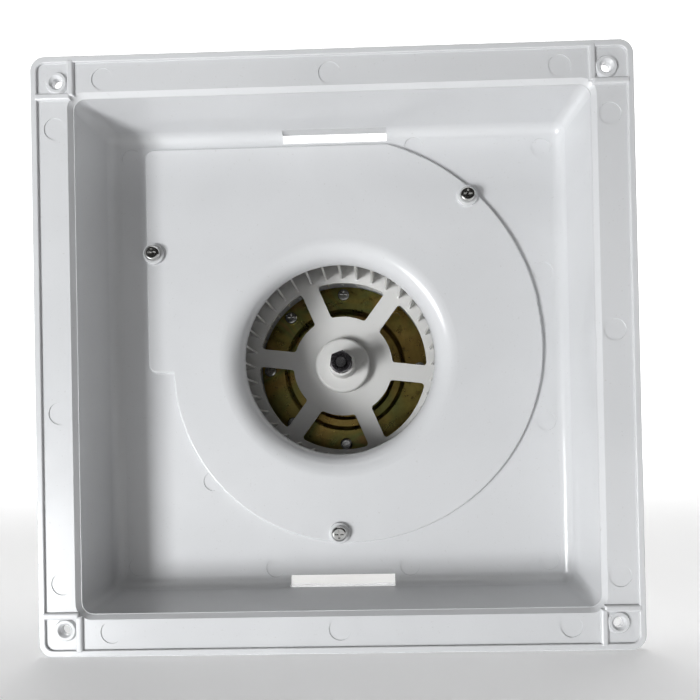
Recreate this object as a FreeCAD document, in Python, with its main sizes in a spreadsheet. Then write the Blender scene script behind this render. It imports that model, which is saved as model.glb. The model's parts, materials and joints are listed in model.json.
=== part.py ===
"""Bathroom extractor fan: a square tray with a centrifugal fan behind its floor.

Frame: +Z up, the open front of the tray faces -Y, the fan blows towards -X.
The origin is the centre of the four screw holes, on the flange's mounting face (y = 0).
All sizes are in millimetres.
"""
import FreeCAD, Part
import math
import os
import Sketcher

doc = FreeCAD.newDocument("extractor_fan")
sheet = doc.addObject("Spreadsheet::Sheet", "dims")
VECTOR = FreeCAD.Vector
TO_BACK = VECTOR(0, 1, 0)


# ---------------------------------------------------------------- driving dimensions

class Size:
    """A length that knows both its number and the sheet expression it comes from."""

    def __init__(self, value, text):
        self.value = value
        self.text = text

    def __add__(self, other):
        other = as_size(other)
        return Size(self.value + other.value, f"({self.text} + {other.text})")

    def __sub__(self, other):
        other = as_size(other)
        return Size(self.value - other.value, f"({self.text} - {other.text})")

    def __rsub__(self, other):
        return as_size(other) - self

    def __mul__(self, other):
        other = as_size(other)
        return Size(self.value * other.value, f"({self.text} * {other.text})")

    def __truediv__(self, other):
        other = as_size(other)
        return Size(self.value / other.value, f"({self.text} / {other.text})")

    def __neg__(self):
        return Size(-self.value, f"(0 - {self.text})")

    __radd__ = __add__
    __rmul__ = __mul__


def as_size(number):
    if isinstance(number, Size):
        return number
    return Size(float(number), f"{float(number):.6f}")


def dim(alias, value):
    """Write one driving dimension into the sheet and return it as a Size."""
    dim.row += 1
    sheet.set(f"A{dim.row}", alias)
    sheet.set(f"B{dim.row}", f"{value}")
    sheet.setAlias(f"B{dim.row}", alias)
    return Size(float(value), f"dims.{alias}")


dim.row = 0

# tray and flange
flange_side = dim("flange_side", 250)
flange_thick = dim("flange_thick", 2.5)
flange_corner = dim("flange_corner", 6)
rim_rise = dim("rim_rise", 1.0)
rim_width = dim("rim_width", 2.6)
hole_pitch = dim("hole_pitch", 228)
hole_radius = dim("hole_radius", 2.1)
pad_radius = dim("pad_radius", 4.8)
pad_rise = dim("pad_rise", 1.1)
rib_width = dim("rib_width", 3)
rib_rise = dim("rib_rise", 1.2)
opening_side = dim("opening_side", 216.4)
floor_side = dim("floor_side", 209)
tray_depth = dim("tray_depth", 32)
wall = dim("wall", 2.5)
lip_round = dim("lip_round", 1.8)
floor_round = dim("floor_round", 5)
corner_round = dim("corner_round", 5)
mark_radius = dim("mark_radius", 4.6)
mark_sink = dim("mark_sink", 0.3)
slot_length = dim("slot_length", 48)
slot_width = dim("slot_width", 4.7)
slot_centre = dim("slot_centre", 102.5)

# scroll and its cover
scroll_step = dim("scroll_step", 8.6)
scroll_start = dim("scroll_start", 76.5)
cover_lap = dim("cover_lap", 7.5)
cover_top = dim("cover_top", 98)
cover_left = dim("cover_left", 88)
cover_foot = dim("cover_foot", -5.5)
cover_thick = dim("cover_thick", 2.5)
cover_corner = dim("cover_corner", 4)
scroll_back = dim("scroll_back", 95.4)
outlet_end = dim("outlet_end", 111)
inlet_radius = dim("inlet_radius", 44.8)
bell_radius = dim("bell_radius", 10)
bell_thick = dim("bell_thick", 1.8)
motor_opening = dim("motor_opening", 38.5)

# impeller
impeller_radius = dim("impeller_radius", 58)
blade_inner = dim("blade_inner", 46)
blade_count = dim("blade_count", 36)
blade_thick = dim("blade_thick", 1.0)
blade_lean = dim("blade_lean", 32)
impeller_front = dim("impeller_front", 39.6)
impeller_rear = dim("impeller_rear", 89)
disc_front = dim("disc_front", 71.2)
disc_thick = dim("disc_thick", 2)
ring_height = dim("ring_height", 3)
window_inner = dim("window_inner", 26.1)
window_outer = dim("window_outer", 44)
spoke_width = dim("spoke_width", 9.4)
spoke_turn = dim("spoke_turn", 37)
boss_radius = dim("boss_radius", 14.2)
boss_rise = dim("boss_rise", 5.4)
collar_root = dim("collar_root", 7.4)
collar_tip = dim("collar_tip", 6.4)
collar_front = dim("collar_front", 52.5)
insert_radius = dim("insert_radius", 5.2)

# shaft, nut and bearings
shaft_radius = dim("shaft_radius", 4)
thread_radius = dim("thread_radius", 3)
shaft_front = dim("shaft_front", 46.9)
shaft_step = dim("shaft_step", 54)
shaft_rear = dim("shaft_rear", 156.2)
running_gap = dim("running_gap", 0.04)
nut_flats = dim("nut_flats", 10)
nut_height = dim("nut_height", 5)
washer_radius = dim("washer_radius", 5.4)
washer_height = dim("washer_height", 1.4)
bearing_radius = dim("bearing_radius", 7)
bearing_length = dim("bearing_length", 8)
front_bearing_at = dim("front_bearing_at", 98.4)
rear_bearing_at = dim("rear_bearing_at", 147.8)

# motor
sheet_thick = dim("sheet_thick", 1.2)
plate_radius = dim("plate_radius", 46.5)
plate_front = dim("plate_front", 94.2)
dish_radius = dim("dish_radius", 34.2)
dish_step = dim("dish_step", 6)
dish_inner = dim("dish_inner", 28.5)
fixing_circle = dim("fixing_circle", 41.8)
fixing_hole = dim("fixing_hole", 2.2)
can_radius = dim("can_radius", 37.2)
can_floor = dim("can_floor", 146)
stack_radius = dim("stack_radius", 36)
stack_front = dim("stack_front", 116)
stack_length = dim("stack_length", 20)
yoke_width = dim("yoke_width", 6)
bore_radius = dim("bore_radius", 17.4)
tooth_count = dim("tooth_count", 8)
tooth_width = dim("tooth_width", 7)
rotor_radius = dim("rotor_radius", 17)
end_ring_height = dim("end_ring_height", 3)
coil_head = dim("coil_head", 6.5)

# duct adaptor
outlet_low = cover_foot + cover_lap
outlet_high = cover_top - cover_lap
duct_centre_z = (outlet_low + outlet_high) / 2
duct_centre_y = dim("duct_centre_y", 63.6)
duct_radius = dim("duct_radius", 49)
duct_wall = dim("duct_wall", 2)
adaptor_plate = dim("adaptor_plate", 3)
adaptor_spread = dim("adaptor_spread", 27.5)
collar_end = dim("collar_end", 131.5)
flap_radius = dim("flap_radius", 44.6)
flap_thick = dim("flap_thick", 1.6)
flap_plane = dim("flap_plane", 122.5)
flap_pivot_up = dim("flap_pivot_up", 36)
pin_radius = dim("pin_radius", 1.25)

# electrical box
box_low = dim("box_low", -103)
box_size = dim("box_size", 44)
box_depth = dim("box_depth", 38)
box_wall = dim("box_wall", 2)
entry_radius = dim("entry_radius", 4)
lead_radius = dim("lead_radius", 2.6)

doc.recompute()

FLOOR_FRONT = tray_depth - flange_thick
FLOOR_BACK = FLOOR_FRONT + wall
COVER_FRONT = FLOOR_FRONT - cover_thick
BACK_WALL_REAR = scroll_back + wall
COVER_SCREWS = ((-84.4, 49.4), (60.3, 72.6), (-1.1, -80.5))
SCREW_ANGLES = (0, 90, 180, 225, 270, 315)
EMPTY_HOLE_ANGLES = (45, 135)


# ---------------------------------------------------------------- drawing helpers

def bind(item, prop, size):
    item.setExpression(prop, as_size(size).text)


def place(item, x=0, y=0, z=0):
    bind(item, "Placement.Base.x", x)
    bind(item, "Placement.Base.y", y)
    bind(item, "Placement.Base.z", z)


def origin_plane(body, role):
    return next(item for item in body.Origin.OriginFeatures if item.Role == role)


def new_body(label):
    body = doc.addObject("PartDesign::Body", label)
    body.Label = label
    return body


def new_sketch(body, name, role="XY_Plane"):
    sketch = body.newObject("Sketcher::SketchObject", name)
    sketch.AttachmentSupport = [(origin_plane(body, role), "")]
    sketch.MapMode = "FlatFace"
    return sketch


def draw_outline(sketch, points):
    """Closed outline of straight edges, each corner held by two bound distances."""
    first = sketch.GeometryCount
    corners = [VECTOR(as_size(x).value, as_size(y).value, 0) for x, y in points]
    for start, end in zip(corners, corners[1:] + corners[:1]):
        sketch.addGeometry(Part.LineSegment(start, end), False)
    count = len(points)
    for index in range(count):
        joint = Sketcher.Constraint("Coincident", first + index, 2, first + (index + 1) % count, 1)
        sketch.addConstraint(joint)
    for index, (x, y) in enumerate(points):
        for kind, size in (("DistanceX", as_size(x)), ("DistanceY", as_size(y))):
            line = first + index
            number = sketch.addConstraint(Sketcher.Constraint(kind, -1, 1, line, 1, size.value))
            sketch.setExpression(f"Constraints[{number}]", size.text)


def draw_circle(sketch, x, y, radius):
    x, y, radius = as_size(x), as_size(y), as_size(radius)
    circle = Part.Circle(VECTOR(x.value, y.value, 0), VECTOR(0, 0, 1), radius.value)
    index = sketch.addGeometry(circle, False)
    for kind, size in (("DistanceX", x), ("DistanceY", y)):
        number = sketch.addConstraint(Sketcher.Constraint(kind, -1, 1, index, 3, size.value))
        sketch.setExpression(f"Constraints[{number}]", size.text)
    number = sketch.addConstraint(Sketcher.Constraint("Radius", index, radius.value))
    sketch.setExpression(f"Constraints[{number}]", radius.text)


def turned(label, outline, x=0, z=0):
    """Body of revolution about an axis along Y; the outline gives (radius, y) points."""
    body = new_body(label)
    sketch = new_sketch(body, label + "_section")
    draw_outline(sketch, outline)
    turn = body.newObject("PartDesign::Revolution", label + "_turn")
    turn.Profile = sketch
    turn.ReferenceAxis = (sketch, ["V_Axis"])
    turn.Angle = 360
    place(body, x, 0, z)
    return body


def ring_pocket(body, name, centres, radius, depth, front=0):
    """Pocket of round holes along Y, cut towards the back from the plane y = front."""
    sketch = new_sketch(body, name + "_sketch", "XZ_Plane")
    bind(sketch, "AttachmentOffset.Base.z", -as_size(front))
    for x, z in centres:
        draw_circle(sketch, x, z, radius)
    pocket = body.newObject("PartDesign::Pocket", name)
    pocket.Profile = sketch
    bind(pocket, "Length", depth)
    doc.recompute()
    before = pocket.BaseFeature.Shape.Volume
    if pocket.Shape.Volume > before - 1.0:
        pocket.Reversed = True
        doc.recompute()
    if pocket.Shape.Volume > before - 1.0:
        raise ValueError(f"{name} cuts nothing")
    body.Tip = pocket


def box(name, x, y, z):
    """Block between two corners; each of x, y, z is a (low, high) pair of sizes."""
    item = doc.addObject("Part::Box", name)
    for prop, (low, high) in zip(("Length", "Width", "Height"), (x, y, z)):
        bind(item, prop, as_size(high) - low)
    place(item, x[0], y[0], z[0])
    return item


AXIS_TURNS = {
    "X": FreeCAD.Rotation(VECTOR(0, 0, 1), VECTOR(1, 0, 0)),
    "Y": FreeCAD.Rotation(VECTOR(0, 0, 1), VECTOR(0, 1, 0)),
    "Z": FreeCAD.Rotation(),
}


def rod(name, axis, radius, length, x, y, z):
    """Cylinder that starts at (x, y, z) and runs along +X, +Y or +Z."""
    item = doc.addObject("Part::Cylinder", name)
    bind(item, "Radius", radius)
    bind(item, "Height", length)
    item.Placement = FreeCAD.Placement(VECTOR(0, 0, 0), AXIS_TURNS[axis])
    place(item, x, y, z)
    return item


def cut(name, base, tool):
    item = doc.addObject("Part::Cut", name)
    item.Base = base
    item.Tool = tool
    return item


def fuse(name, items):
    item = doc.addObject("Part::MultiFuse", name)
    item.Shapes = items
    return item


def group(name, items):
    """Several identical separate solids that share one node."""
    item = doc.addObject("Part::Compound", name)
    item.Links = items
    return item


def solid(label, shape):
    """Sub-part whose shape is worked out below from the sheet's sizes."""
    item = doc.addObject("Part::Feature", label)
    item.Label = label
    item.Shape = shape
    item.Placement = shape.Placement
    return item


def number(size):
    return as_size(size).value


def y_rod(radius, start, end, x=0, z=0):
    """Plain cylinder shape along Y between two depths."""
    length = number(end) - number(start)
    return Part.makeCylinder(number(radius), length, VECTOR(x, number(start), z), TO_BACK)


def upright_rod(radius, length, x, y, z):
    return Part.makeCylinder(radius, length, VECTOR(x, y, z), VECTOR(0, 0, 1))


def block(low, high):
    low, high = VECTOR(*low), VECTOR(*high)
    size = high - low
    return Part.makeBox(size.x, size.y, size.z, low)


def on_circle(radius, angle):
    """Point at an angle measured clockwise from straight up, seen from the front."""
    turn = math.radians(angle)
    return number(radius) * math.sin(turn), number(radius) * math.cos(turn)


def rounded_square(side, radius, y):
    """Square wire with rounded corners, centred on the axis, in the plane at depth y."""
    half = side / 2
    straight = half - radius
    bend = radius * math.sin(math.radians(45))
    edges = []
    for turn in range(4):
        spin = FreeCAD.Rotation(TO_BACK, 90 * turn)
        points = [
            VECTOR(-straight, y, half),
            VECTOR(straight, y, half),
            VECTOR(straight + bend, y, straight + bend),
            VECTOR(half, y, straight),
        ]
        left, right, middle, down = [spin.multVec(point) for point in points]
        edges.append(Part.LineSegment(left, right).toShape())
        edges.append(Part.Arc(right, middle, down).toShape())
    return Part.Wire(Part.__sortEdges__(edges))


def lofted_square(low_side, high_side, corner, start, end):
    wires = [rounded_square(low_side, corner, start), rounded_square(high_side, corner, end)]
    return Part.makeLoft(wires, True, True)


def slab(face, length):
    return face.extrude(VECTOR(0, length, 0))


# ---------------------------------------------------------------- scroll outline

def scroll_slab(inset, left, y, length):
    """Four-centre volute with its outlet, shrunk by inset, extruded back from depth y.

    The radius grows by scroll_step every quarter turn: left, bottom, right, top.
    The outlet runs left between the straight top edge and the foot.
    """
    step = number(scroll_step)
    half = step / 2
    small = number(scroll_start) + half - inset
    top = number(cover_top) - inset
    foot = number(cover_foot) + inset
    arcs = (
        (VECTOR(half, y, -half), small, 180, 270),
        (VECTOR(half, y, half), small + step, 270, 360),
        (VECTOR(-half, y, half), small + 2 * step, 0, 90),
    )
    edges = []
    for centre, radius, start, end in arcs:
        points = []
        for angle in (start, (start + end) / 2, end):
            turn = math.radians(angle)
            points.append(centre + VECTOR(radius * math.cos(turn), 0, radius * math.sin(turn)))
        edges.append(Part.Arc(*points).toShape())
    head = edges[-1].Vertexes[-1].Point
    tail = edges[0].Vertexes[0].Point
    edges.append(Part.LineSegment(head, VECTOR(tail.x, y, head.z)).toShape())
    edges.append(Part.LineSegment(VECTOR(tail.x, y, head.z), tail).toShape())
    spiral = slab(Part.Face(Part.Wire(edges)), length)
    reach = 200
    spiral = spiral.cut(block((-reach, y - 1, top), (reach, y + length + 1, reach)))
    outlet = block((left, y, foot), (half, y + length, top))
    return spiral.fuse(outlet).removeSplitter()


def edges_at(shape, test):
    return [edge for edge in shape.Edges if all(test(vertex.Point) for vertex in edge.Vertexes)]


# ---------------------------------------------------------------- housing

def flange_shape():
    """Square flange with a raised rim, corner pads, ribs and shallow round marks."""
    side, thick = number(flange_side), number(flange_thick)
    corner, rise = number(flange_corner), number(rim_rise)
    plate = slab(Part.Face(rounded_square(side, corner, -thick)), thick)
    rim = slab(Part.Face(rounded_square(side, corner, -thick - rise)), rise)
    inner_side = side - 2 * number(rim_width)
    inner_corner = corner - number(rim_width)
    rim = rim.cut(slab(Part.Face(rounded_square(inner_side, inner_corner, -thick - rise)), rise))
    rim = rim.makeFillet(rise * 0.45, edges_at(rim, lambda point: point.y < -thick - rise / 2))
    shape = plate.fuse(rim)
    pitch, half_opening = number(hole_pitch) / 2, number(opening_side) / 2
    top = -thick - number(rib_rise)
    for sign_x in (-1, 1):
        for sign_z in (-1, 1):
            x, z = sign_x * pitch, sign_z * pitch
            pad = Part.makeCone(number(pad_radius) - 0.7, number(pad_radius), number(pad_rise),
                                VECTOR(x, -thick - number(pad_rise), z), TO_BACK)
            shape = shape.fuse(pad)
            for rib in corner_ribs(sign_x, sign_z, half_opening, side / 2, top):
                shape = shape.fuse(rib)
    for sign_x in (-1, 1):
        for sign_z in (-1, 1):
            x, z = sign_x * pitch, sign_z * pitch
            shape = shape.cut(y_rod(hole_radius, -thick - 3, 1, x, z))
            mouth = Part.makeCone(number(hole_radius) + 1.0, number(hole_radius), 1.0,
                                  VECTOR(x, -thick - number(pad_rise), z), TO_BACK)
            shape = shape.cut(mouth)
    return shape


def corner_ribs(sign_x, sign_z, inner, outer, top):
    """The two low rounded ribs that frame a corner pad, one along X and one along Z."""
    width = number(rib_width)
    span = outer - inner - number(rim_width) / 2
    across = VECTOR(sign_x * inner, 0, sign_z * (inner + span / 2))
    along = VECTOR(sign_x * (inner + span / 2), 0, sign_z * inner)
    ribs = []
    for centre, size_x, size_z in ((across, width, span), (along, span, width)):
        low = (centre.x - size_x / 2, top, centre.z - size_z / 2)
        high = (centre.x + size_x / 2, -number(flange_thick) + 0.5, centre.z + size_z / 2)
        rib = block(low, high)
        ribs.append(rib.makeFillet(1.0, edges_at(rib, lambda point: point.y < top + 0.1)))
    return ribs


def tray_shape():
    """Square funnel of thin walls with a flat floor, open at the front."""
    thick, corner = number(wall), number(corner_round)
    front, floor, back = -number(flange_thick), number(FLOOR_FRONT), number(FLOOR_BACK)
    opening, base = number(opening_side), number(floor_side)
    outer = lofted_square(opening + 2 * thick, base + 2 * thick, corner + thick, -0.5, back)
    outer = outer.makeFillet(3, edges_at(outer, lambda point: point.y > back - 0.1))
    inner = lofted_square(opening, base, corner, front, floor)
    inner = inner.makeFillet(number(floor_round), edges_at(inner, lambda point: point.y > floor - 0.1))
    return outer, inner


def lip_relief():
    """Ring that rounds the lip between the flange and the tray wall."""
    radius, front = number(lip_round), -number(flange_thick)
    side, corner = number(opening_side), number(corner_round)
    outer = rounded_square(side + 2 * radius, corner + radius, front)
    inner = rounded_square(side, corner, front + radius)
    return Part.makeLoft([outer, inner], True, True)


def mark_centres():
    """Ejector marks: a ring on the flange and a scatter on the tray floor."""
    line, span = 115.3, 95
    flange_marks = [(-span, line), (0, line), (span, line), (line, span), (line, 6), (line, -span)]
    flange_marks += [(span, -line), (0, -line), (-span, -line), (-line, -span), (-line, -24), (-line, span)]
    floor_marks = [(36.5, 97), (95, 95), (95, 38), (95, -31), (95, -95), (31, -96.5), (-31, -96.5)]
    floor_marks += [(-95, -95), (-59.5, -56), (-95, 95)]
    return flange_marks, floor_marks


def back_ribs():
    """Stiffening ribs between the scroll and the tray's back, and round the flange."""
    thick, height = 1.8, 9
    back = number(FLOOR_BACK)
    reach = number(floor_side) / 2
    ribs = []
    for angle in (20, 50, 80, 110, 140, 170, 200):
        rib = block((-thick / 2, back - 0.5, 70), (thick / 2, back + height, 150))
        rib.rotate(VECTOR(0, 0, 0), TO_BACK, angle)
        ribs.append(rib)
    frame = block((-reach, back - 1, -reach), (reach, back + height, reach))
    return [rib.common(frame) for rib in ribs]


def flange_gussets():
    """Small triangular webs behind the flange against the tray's side walls."""
    thick, drop, start, stop = 2, 9, 107.5, 119
    profile = [VECTOR(0, -0.5, start), VECTOR(0, -0.5, stop), VECTOR(0, 0, stop), VECTOR(0, drop, start)]
    gussets = []
    for turn in range(4):
        for offset in (-75, -25, 25, 75):
            points = [point + VECTOR(offset - thick / 2, 0, 0) for point in profile]
            web = Part.Face(Part.makePolygon(points + points[:1])).extrude(VECTOR(thick, 0, 0))
            web.rotate(VECTOR(0, 0, 0), TO_BACK, 90 * turn)
            gussets.append(web)
    return gussets


def outlet_frame():
    """Collar of plastic round the outlet's mouth that the duct adaptor screws to."""
    thick = 3
    left = -number(outlet_end)
    low = (left, number(duct_centre_y) - 42, number(outlet_low) - 6)
    high = (left + thick, number(duct_centre_y) + 42, number(outlet_high) + 6)
    return block(low, high)


def housing():
    flange = flange_shape()
    outer, inner = tray_shape()
    lap, thick = number(cover_lap), number(wall)
    mouth = -number(cover_left) + lap
    back, rear = number(scroll_back), number(BACK_WALL_REAR)
    floor_back = number(FLOOR_BACK)
    shape = flange.fuse(outer)
    left = -number(outlet_end)
    shape = shape.fuse(scroll_slab(lap - thick, left, floor_back - 1, rear - floor_back + 1))
    shape = shape.fuse(outlet_frame())
    for rib in back_ribs() + flange_gussets():
        shape = shape.fuse(rib)
    for x, z in COVER_SCREWS:
        shape = shape.fuse(y_rod(4.4, floor_back - 1, floor_back + 11, x, z))
    for x, z in box_screw_places() + capacitor_places():
        shape = shape.fuse(y_rod(3.6, floor_back - 1, floor_back + 5, x, z))
    shape = shape.cut(inner)
    shape = shape.cut(lip_relief())
    passage = scroll_slab(lap, left - 1, floor_back, back - floor_back)
    throat = scroll_slab(lap, mouth, 0, floor_back + 1)
    shape = shape.cut(throat).cut(passage)
    for x, z in COVER_SCREWS[:1]:
        shape = shape.fuse(y_rod(4.4, floor_back - 1, floor_back + 9, x, z))
    shape = shape.cut(y_rod(motor_opening, back - 1, rear + 1))
    cutters = [y_rod(1.45, 0, floor_back + 7.5, x, z) for x, z in COVER_SCREWS]
    cutters += [y_rod(1.3, floor_back + 0.5, floor_back + 6, x, z)
                for x, z in box_screw_places() + capacitor_places()]
    for angle in SCREW_ANGLES + EMPTY_HOLE_ANGLES:
        x, z = on_circle(fixing_circle, angle)
        cutters.append(y_rod(fixing_hole, back - 1, rear + 1, x, z))
    for x, y, z in adaptor_screw_places():
        cutters.append(Part.makeCylinder(1.3, 8, VECTOR(left - 1, y, z), VECTOR(1, 0, 0)))
    half, width, centre = number(slot_length) / 2, number(slot_width) / 2, number(slot_centre)
    for sign in (-1, 1):
        low_z, high_z = sorted((sign * (centre - width), sign * (centre + width)))
        cutters.append(block((-half, 15, low_z), (half, floor_back + 12, high_z)))
    flange_marks, floor_marks = mark_centres()
    sink, front = number(mark_sink), -number(flange_thick)
    cutters += [y_rod(mark_radius, front - 1, front + sink, x, z) for x, z in flange_marks]
    floor_front = number(FLOOR_FRONT)
    cutters += [y_rod(mark_radius - 0.2, floor_front - 3, floor_front + sink, x, z)
                for x, z in floor_marks]
    shape = shape.cut(Part.makeCompound(cutters))
    return solid("housing", largest(shape.removeSplitter()))


def largest(shape):
    return max(shape.Solids, key=lambda item: item.Volume)


# ---------------------------------------------------------------- scroll cover

def scroll_cover():
    """Flat cover on the tray floor with an inlet that curves back into the scroll."""
    front, thick = number(COVER_FRONT), number(cover_thick)
    plate = scroll_slab(0, -number(cover_left), front, thick)
    upright = [edge for edge in plate.Edges
               if len(edge.Vertexes) == 2 and abs(edge.Vertexes[0].Y - edge.Vertexes[1].Y) > 1
               and edge.Vertexes[0].X < -number(cover_left) + 1]
    plate = plate.makeFillet(number(cover_corner), upright)
    plate = plate.makeFillet(0.9, edges_at(plate, lambda point: point.y < front + 0.1))
    for x, z in COVER_SCREWS:
        boss = y_rod(4.8, front - 1.6, front + thick, x, z)
        boss = boss.makeFillet(0.5, edges_at(boss, lambda point: point.y < front - 1.5))
        plate = plate.fuse(boss)
    radius, bell, skin = number(inlet_radius), number(bell_radius), number(bell_thick)
    plate = plate.cut(y_rod(radius + bell, front - 3, front + thick + 3))
    plate = plate.fuse(bell_mouth(radius, bell, skin, front, thick))
    for x, z in COVER_SCREWS:
        plate = plate.cut(y_rod(1.7, front - 3, front + thick + 1, x, z))
    return solid("scroll_cover", largest(plate.removeSplitter()))


def bell_mouth(radius, bell, skin, front, thick):
    """Quarter-round inlet: a quarter ring that turns from the plate into the throat."""
    centre = VECTOR(radius + bell, front + bell, 0)
    slant = math.sin(math.radians(45))
    inner = bell - skin
    outer_middle = centre + VECTOR(-bell * slant, -bell * slant, 0)
    inner_middle = centre + VECTOR(-inner * slant, -inner * slant, 0)
    start = VECTOR(radius + bell, front, 0)
    tip = VECTOR(radius, front + bell, 0)
    tip_back = VECTOR(radius + skin, front + bell, 0)
    root = VECTOR(radius + bell, front + skin, 0)
    outer_arc = Part.Arc(start, outer_middle, tip).toShape()
    inner_arc = Part.Arc(tip_back, inner_middle, root).toShape()
    edges = [outer_arc, Part.LineSegment(tip, tip_back).toShape(), inner_arc]
    edges.append(Part.LineSegment(root, start).toShape())
    ring = Part.Face(Part.Wire(edges)).revolve(VECTOR(0, 0, 0), TO_BACK, 360)
    link = y_rod(radius + bell + 0.5, front, front + thick)
    link = link.cut(y_rod(radius + bell - 0.8, front - 1, front + thick + 1))
    return ring.fuse(link.cut(y_rod(radius + bell, front - 1, front + thick + 1)))


# ---------------------------------------------------------------- impeller

def blade_outline(y):
    """Forward-curved blade section between the inner and the outer radius."""
    inner, outer = number(blade_inner), number(impeller_radius) - 0.6
    half = number(blade_thick) / 2
    lean = math.radians(number(blade_lean))
    span = outer - inner
    root = VECTOR(inner, y, 0)
    shift = span * math.tan(lean) * 0.5
    middle = VECTOR(inner + span * 0.55, y, shift * 0.25)
    tip = VECTOR(math.sqrt(outer ** 2 - shift ** 2), y, shift)
    side = VECTOR(0, 0, half)
    upper = Part.Arc(root + side, middle + side, tip + side).toShape()
    lower = Part.Arc(tip - side, middle - side, root - side).toShape()
    edges = [upper, Part.LineSegment(tip + side, tip - side).toShape(), lower]
    edges.append(Part.LineSegment(root - side, root + side).toShape())
    return Part.Face(Part.Wire(edges))


def impeller():
    """Drum of blades on a spoked disc, with a boss and a collar for the shaft."""
    front, rear = number(impeller_front), number(impeller_rear)
    outer, inner = number(impeller_radius), number(blade_inner)
    disc, thick = number(disc_front), number(disc_thick)
    height = number(ring_height)
    blade = slab(blade_outline(front + 0.6), rear - front - 1.2)
    pieces = []
    for index in range(int(number(blade_count))):
        copy = blade.copy()
        copy.rotate(VECTOR(0, 0, 0), TO_BACK, index * 360 / number(blade_count))
        pieces.append(copy)
    for start in (front, rear - height):
        ring = y_rod(outer, start, start + height)
        pieces.append(ring.cut(y_rod(outer - 1.8, start - 1, start + height + 1)))
    plate = y_rod(inner + 8, disc, disc + thick)
    plate = plate.cut(Part.makeCompound(disc_windows(disc, thick)))
    pieces.append(plate)
    boss = y_rod(boss_radius, disc - number(boss_rise), disc + 0.5)
    boss = boss.makeFillet(1.6, edges_at(boss, lambda point: point.y < disc - 1))
    pieces.append(boss)
    length = disc - number(collar_front)
    pieces.append(Part.makeCone(number(collar_tip), number(collar_root), length,
                                VECTOR(0, number(collar_front), 0), TO_BACK))
    pieces.append(y_rod(collar_root + 1, disc, disc + thick + 6))
    shape = pieces[0].fuse(pieces[1:])
    dimple_x = 10.9
    boss_front = disc - number(boss_rise)
    cutters = [y_rod(insert_radius, 0, disc + 20), y_rod(1.1, boss_front - 1, boss_front + 1, dimple_x, 0.6)]
    shape = shape.cut(Part.makeCompound(cutters))
    return solid("impeller", largest(shape.removeSplitter()))


def disc_windows(disc, thick):
    """Six windows between the spokes, with rounded corners."""
    ring = y_rod(window_outer, disc - 1, disc + thick + 1)
    ring = ring.cut(y_rod(window_inner, disc - 2, disc + thick + 2))
    half = number(spoke_width) / 2
    for index in range(6):
        spoke = block((-half, disc - 2, 0), (half, disc + thick + 2, 60))
        spoke.rotate(VECTOR(0, 0, 0), TO_BACK, number(spoke_turn) + 60 * index)
        ring = ring.cut(spoke)
    windows = []
    for window in ring.Solids:
        corners = [edge for edge in window.Edges
                   if abs(edge.Vertexes[0].Y - edge.Vertexes[-1].Y) > 1]
        windows.append(window.makeFillet(1.6, corners))
    return windows


# ---------------------------------------------------------------- screws and nuts

def screw_shape(head_radius, head_height, shank_radius, length):
    """Pan-head screw with a cross recess; the head's underside is at y = 0."""
    head = Part.makeCylinder(head_radius, head_height, VECTOR(0, -head_height, 0), TO_BACK)
    head = head.makeFillet(head_height * 0.55, edges_at(head, lambda point: point.y < -head_height / 2))
    shank = Part.makeCylinder(shank_radius, length - 1.2, VECTOR(0, 0, 0), TO_BACK)
    point = Part.makeCone(shank_radius, shank_radius * 0.35, 1.2, VECTOR(0, length - 1.2, 0), TO_BACK)
    shape = head.fuse([shank, point])
    arm, web = head_radius * 0.55, head_radius * 0.13
    deep = head_height * 0.6
    for size_x, size_z in ((arm, web), (web, arm)):
        shape = shape.cut(block((-size_x, -head_height - 1, -size_z), (size_x, deep - head_height, size_z)))
    return shape.removeSplitter()


def hex_nut(flats, bore, height):
    """Hexagon nut from y = 0 to y = height, with chamfered corners at the front."""
    corner = flats / math.sqrt(3)
    points = []
    for index in range(7):
        turn = math.radians(60 * index + 20)
        points.append(VECTOR(corner * math.cos(turn), 0, corner * math.sin(turn)))
    nut = slab(Part.Face(Part.makePolygon(points)), height)
    trim = Part.makeCone(flats * 0.47, flats * 0.47 + height * 1.7, height, VECTOR(0, 0, 0), TO_BACK)
    nut = nut.common(trim)
    nut = nut.cut(Part.makeCylinder(bore, height + 2, VECTOR(0, -1, 0), TO_BACK))
    return nut.cut(Part.makeCone(bore + 0.7, bore, 0.7, VECTOR(0, 0, 0), TO_BACK))


def copies(shape, places):
    """Compound of one shape repeated at (x, y, z) places."""
    items = []
    for x, y, z in places:
        copy = shape.copy()
        copy.translate(VECTOR(x, y, z))
        items.append(copy)
    return Part.makeCompound(items)


def fixing_places(angles, y):
    return [(x, y, z) for x, z in (on_circle(fixing_circle, angle) for angle in angles)]


def fasteners():
    cover_seat = number(COVER_FRONT) - 1.6
    cover_screw = screw_shape(3.6, 2.3, 1.45, 11)
    solid("cover_screws", copies(cover_screw, [(x, cover_seat, z) for x, z in COVER_SCREWS]))
    motor_screw = screw_shape(3.4, 2.2, 2.0, 11)
    solid("motor_screws", copies(motor_screw, fixing_places(SCREW_ANGLES, number(plate_front))))
    nut = hex_nut(7, 2.02, 3.2)
    nut_seat = number(BACK_WALL_REAR + sheet_thick)
    solid("motor_nuts", copies(nut, fixing_places(SCREW_ANGLES, nut_seat)))


# ---------------------------------------------------------------- rotating shaft line

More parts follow.
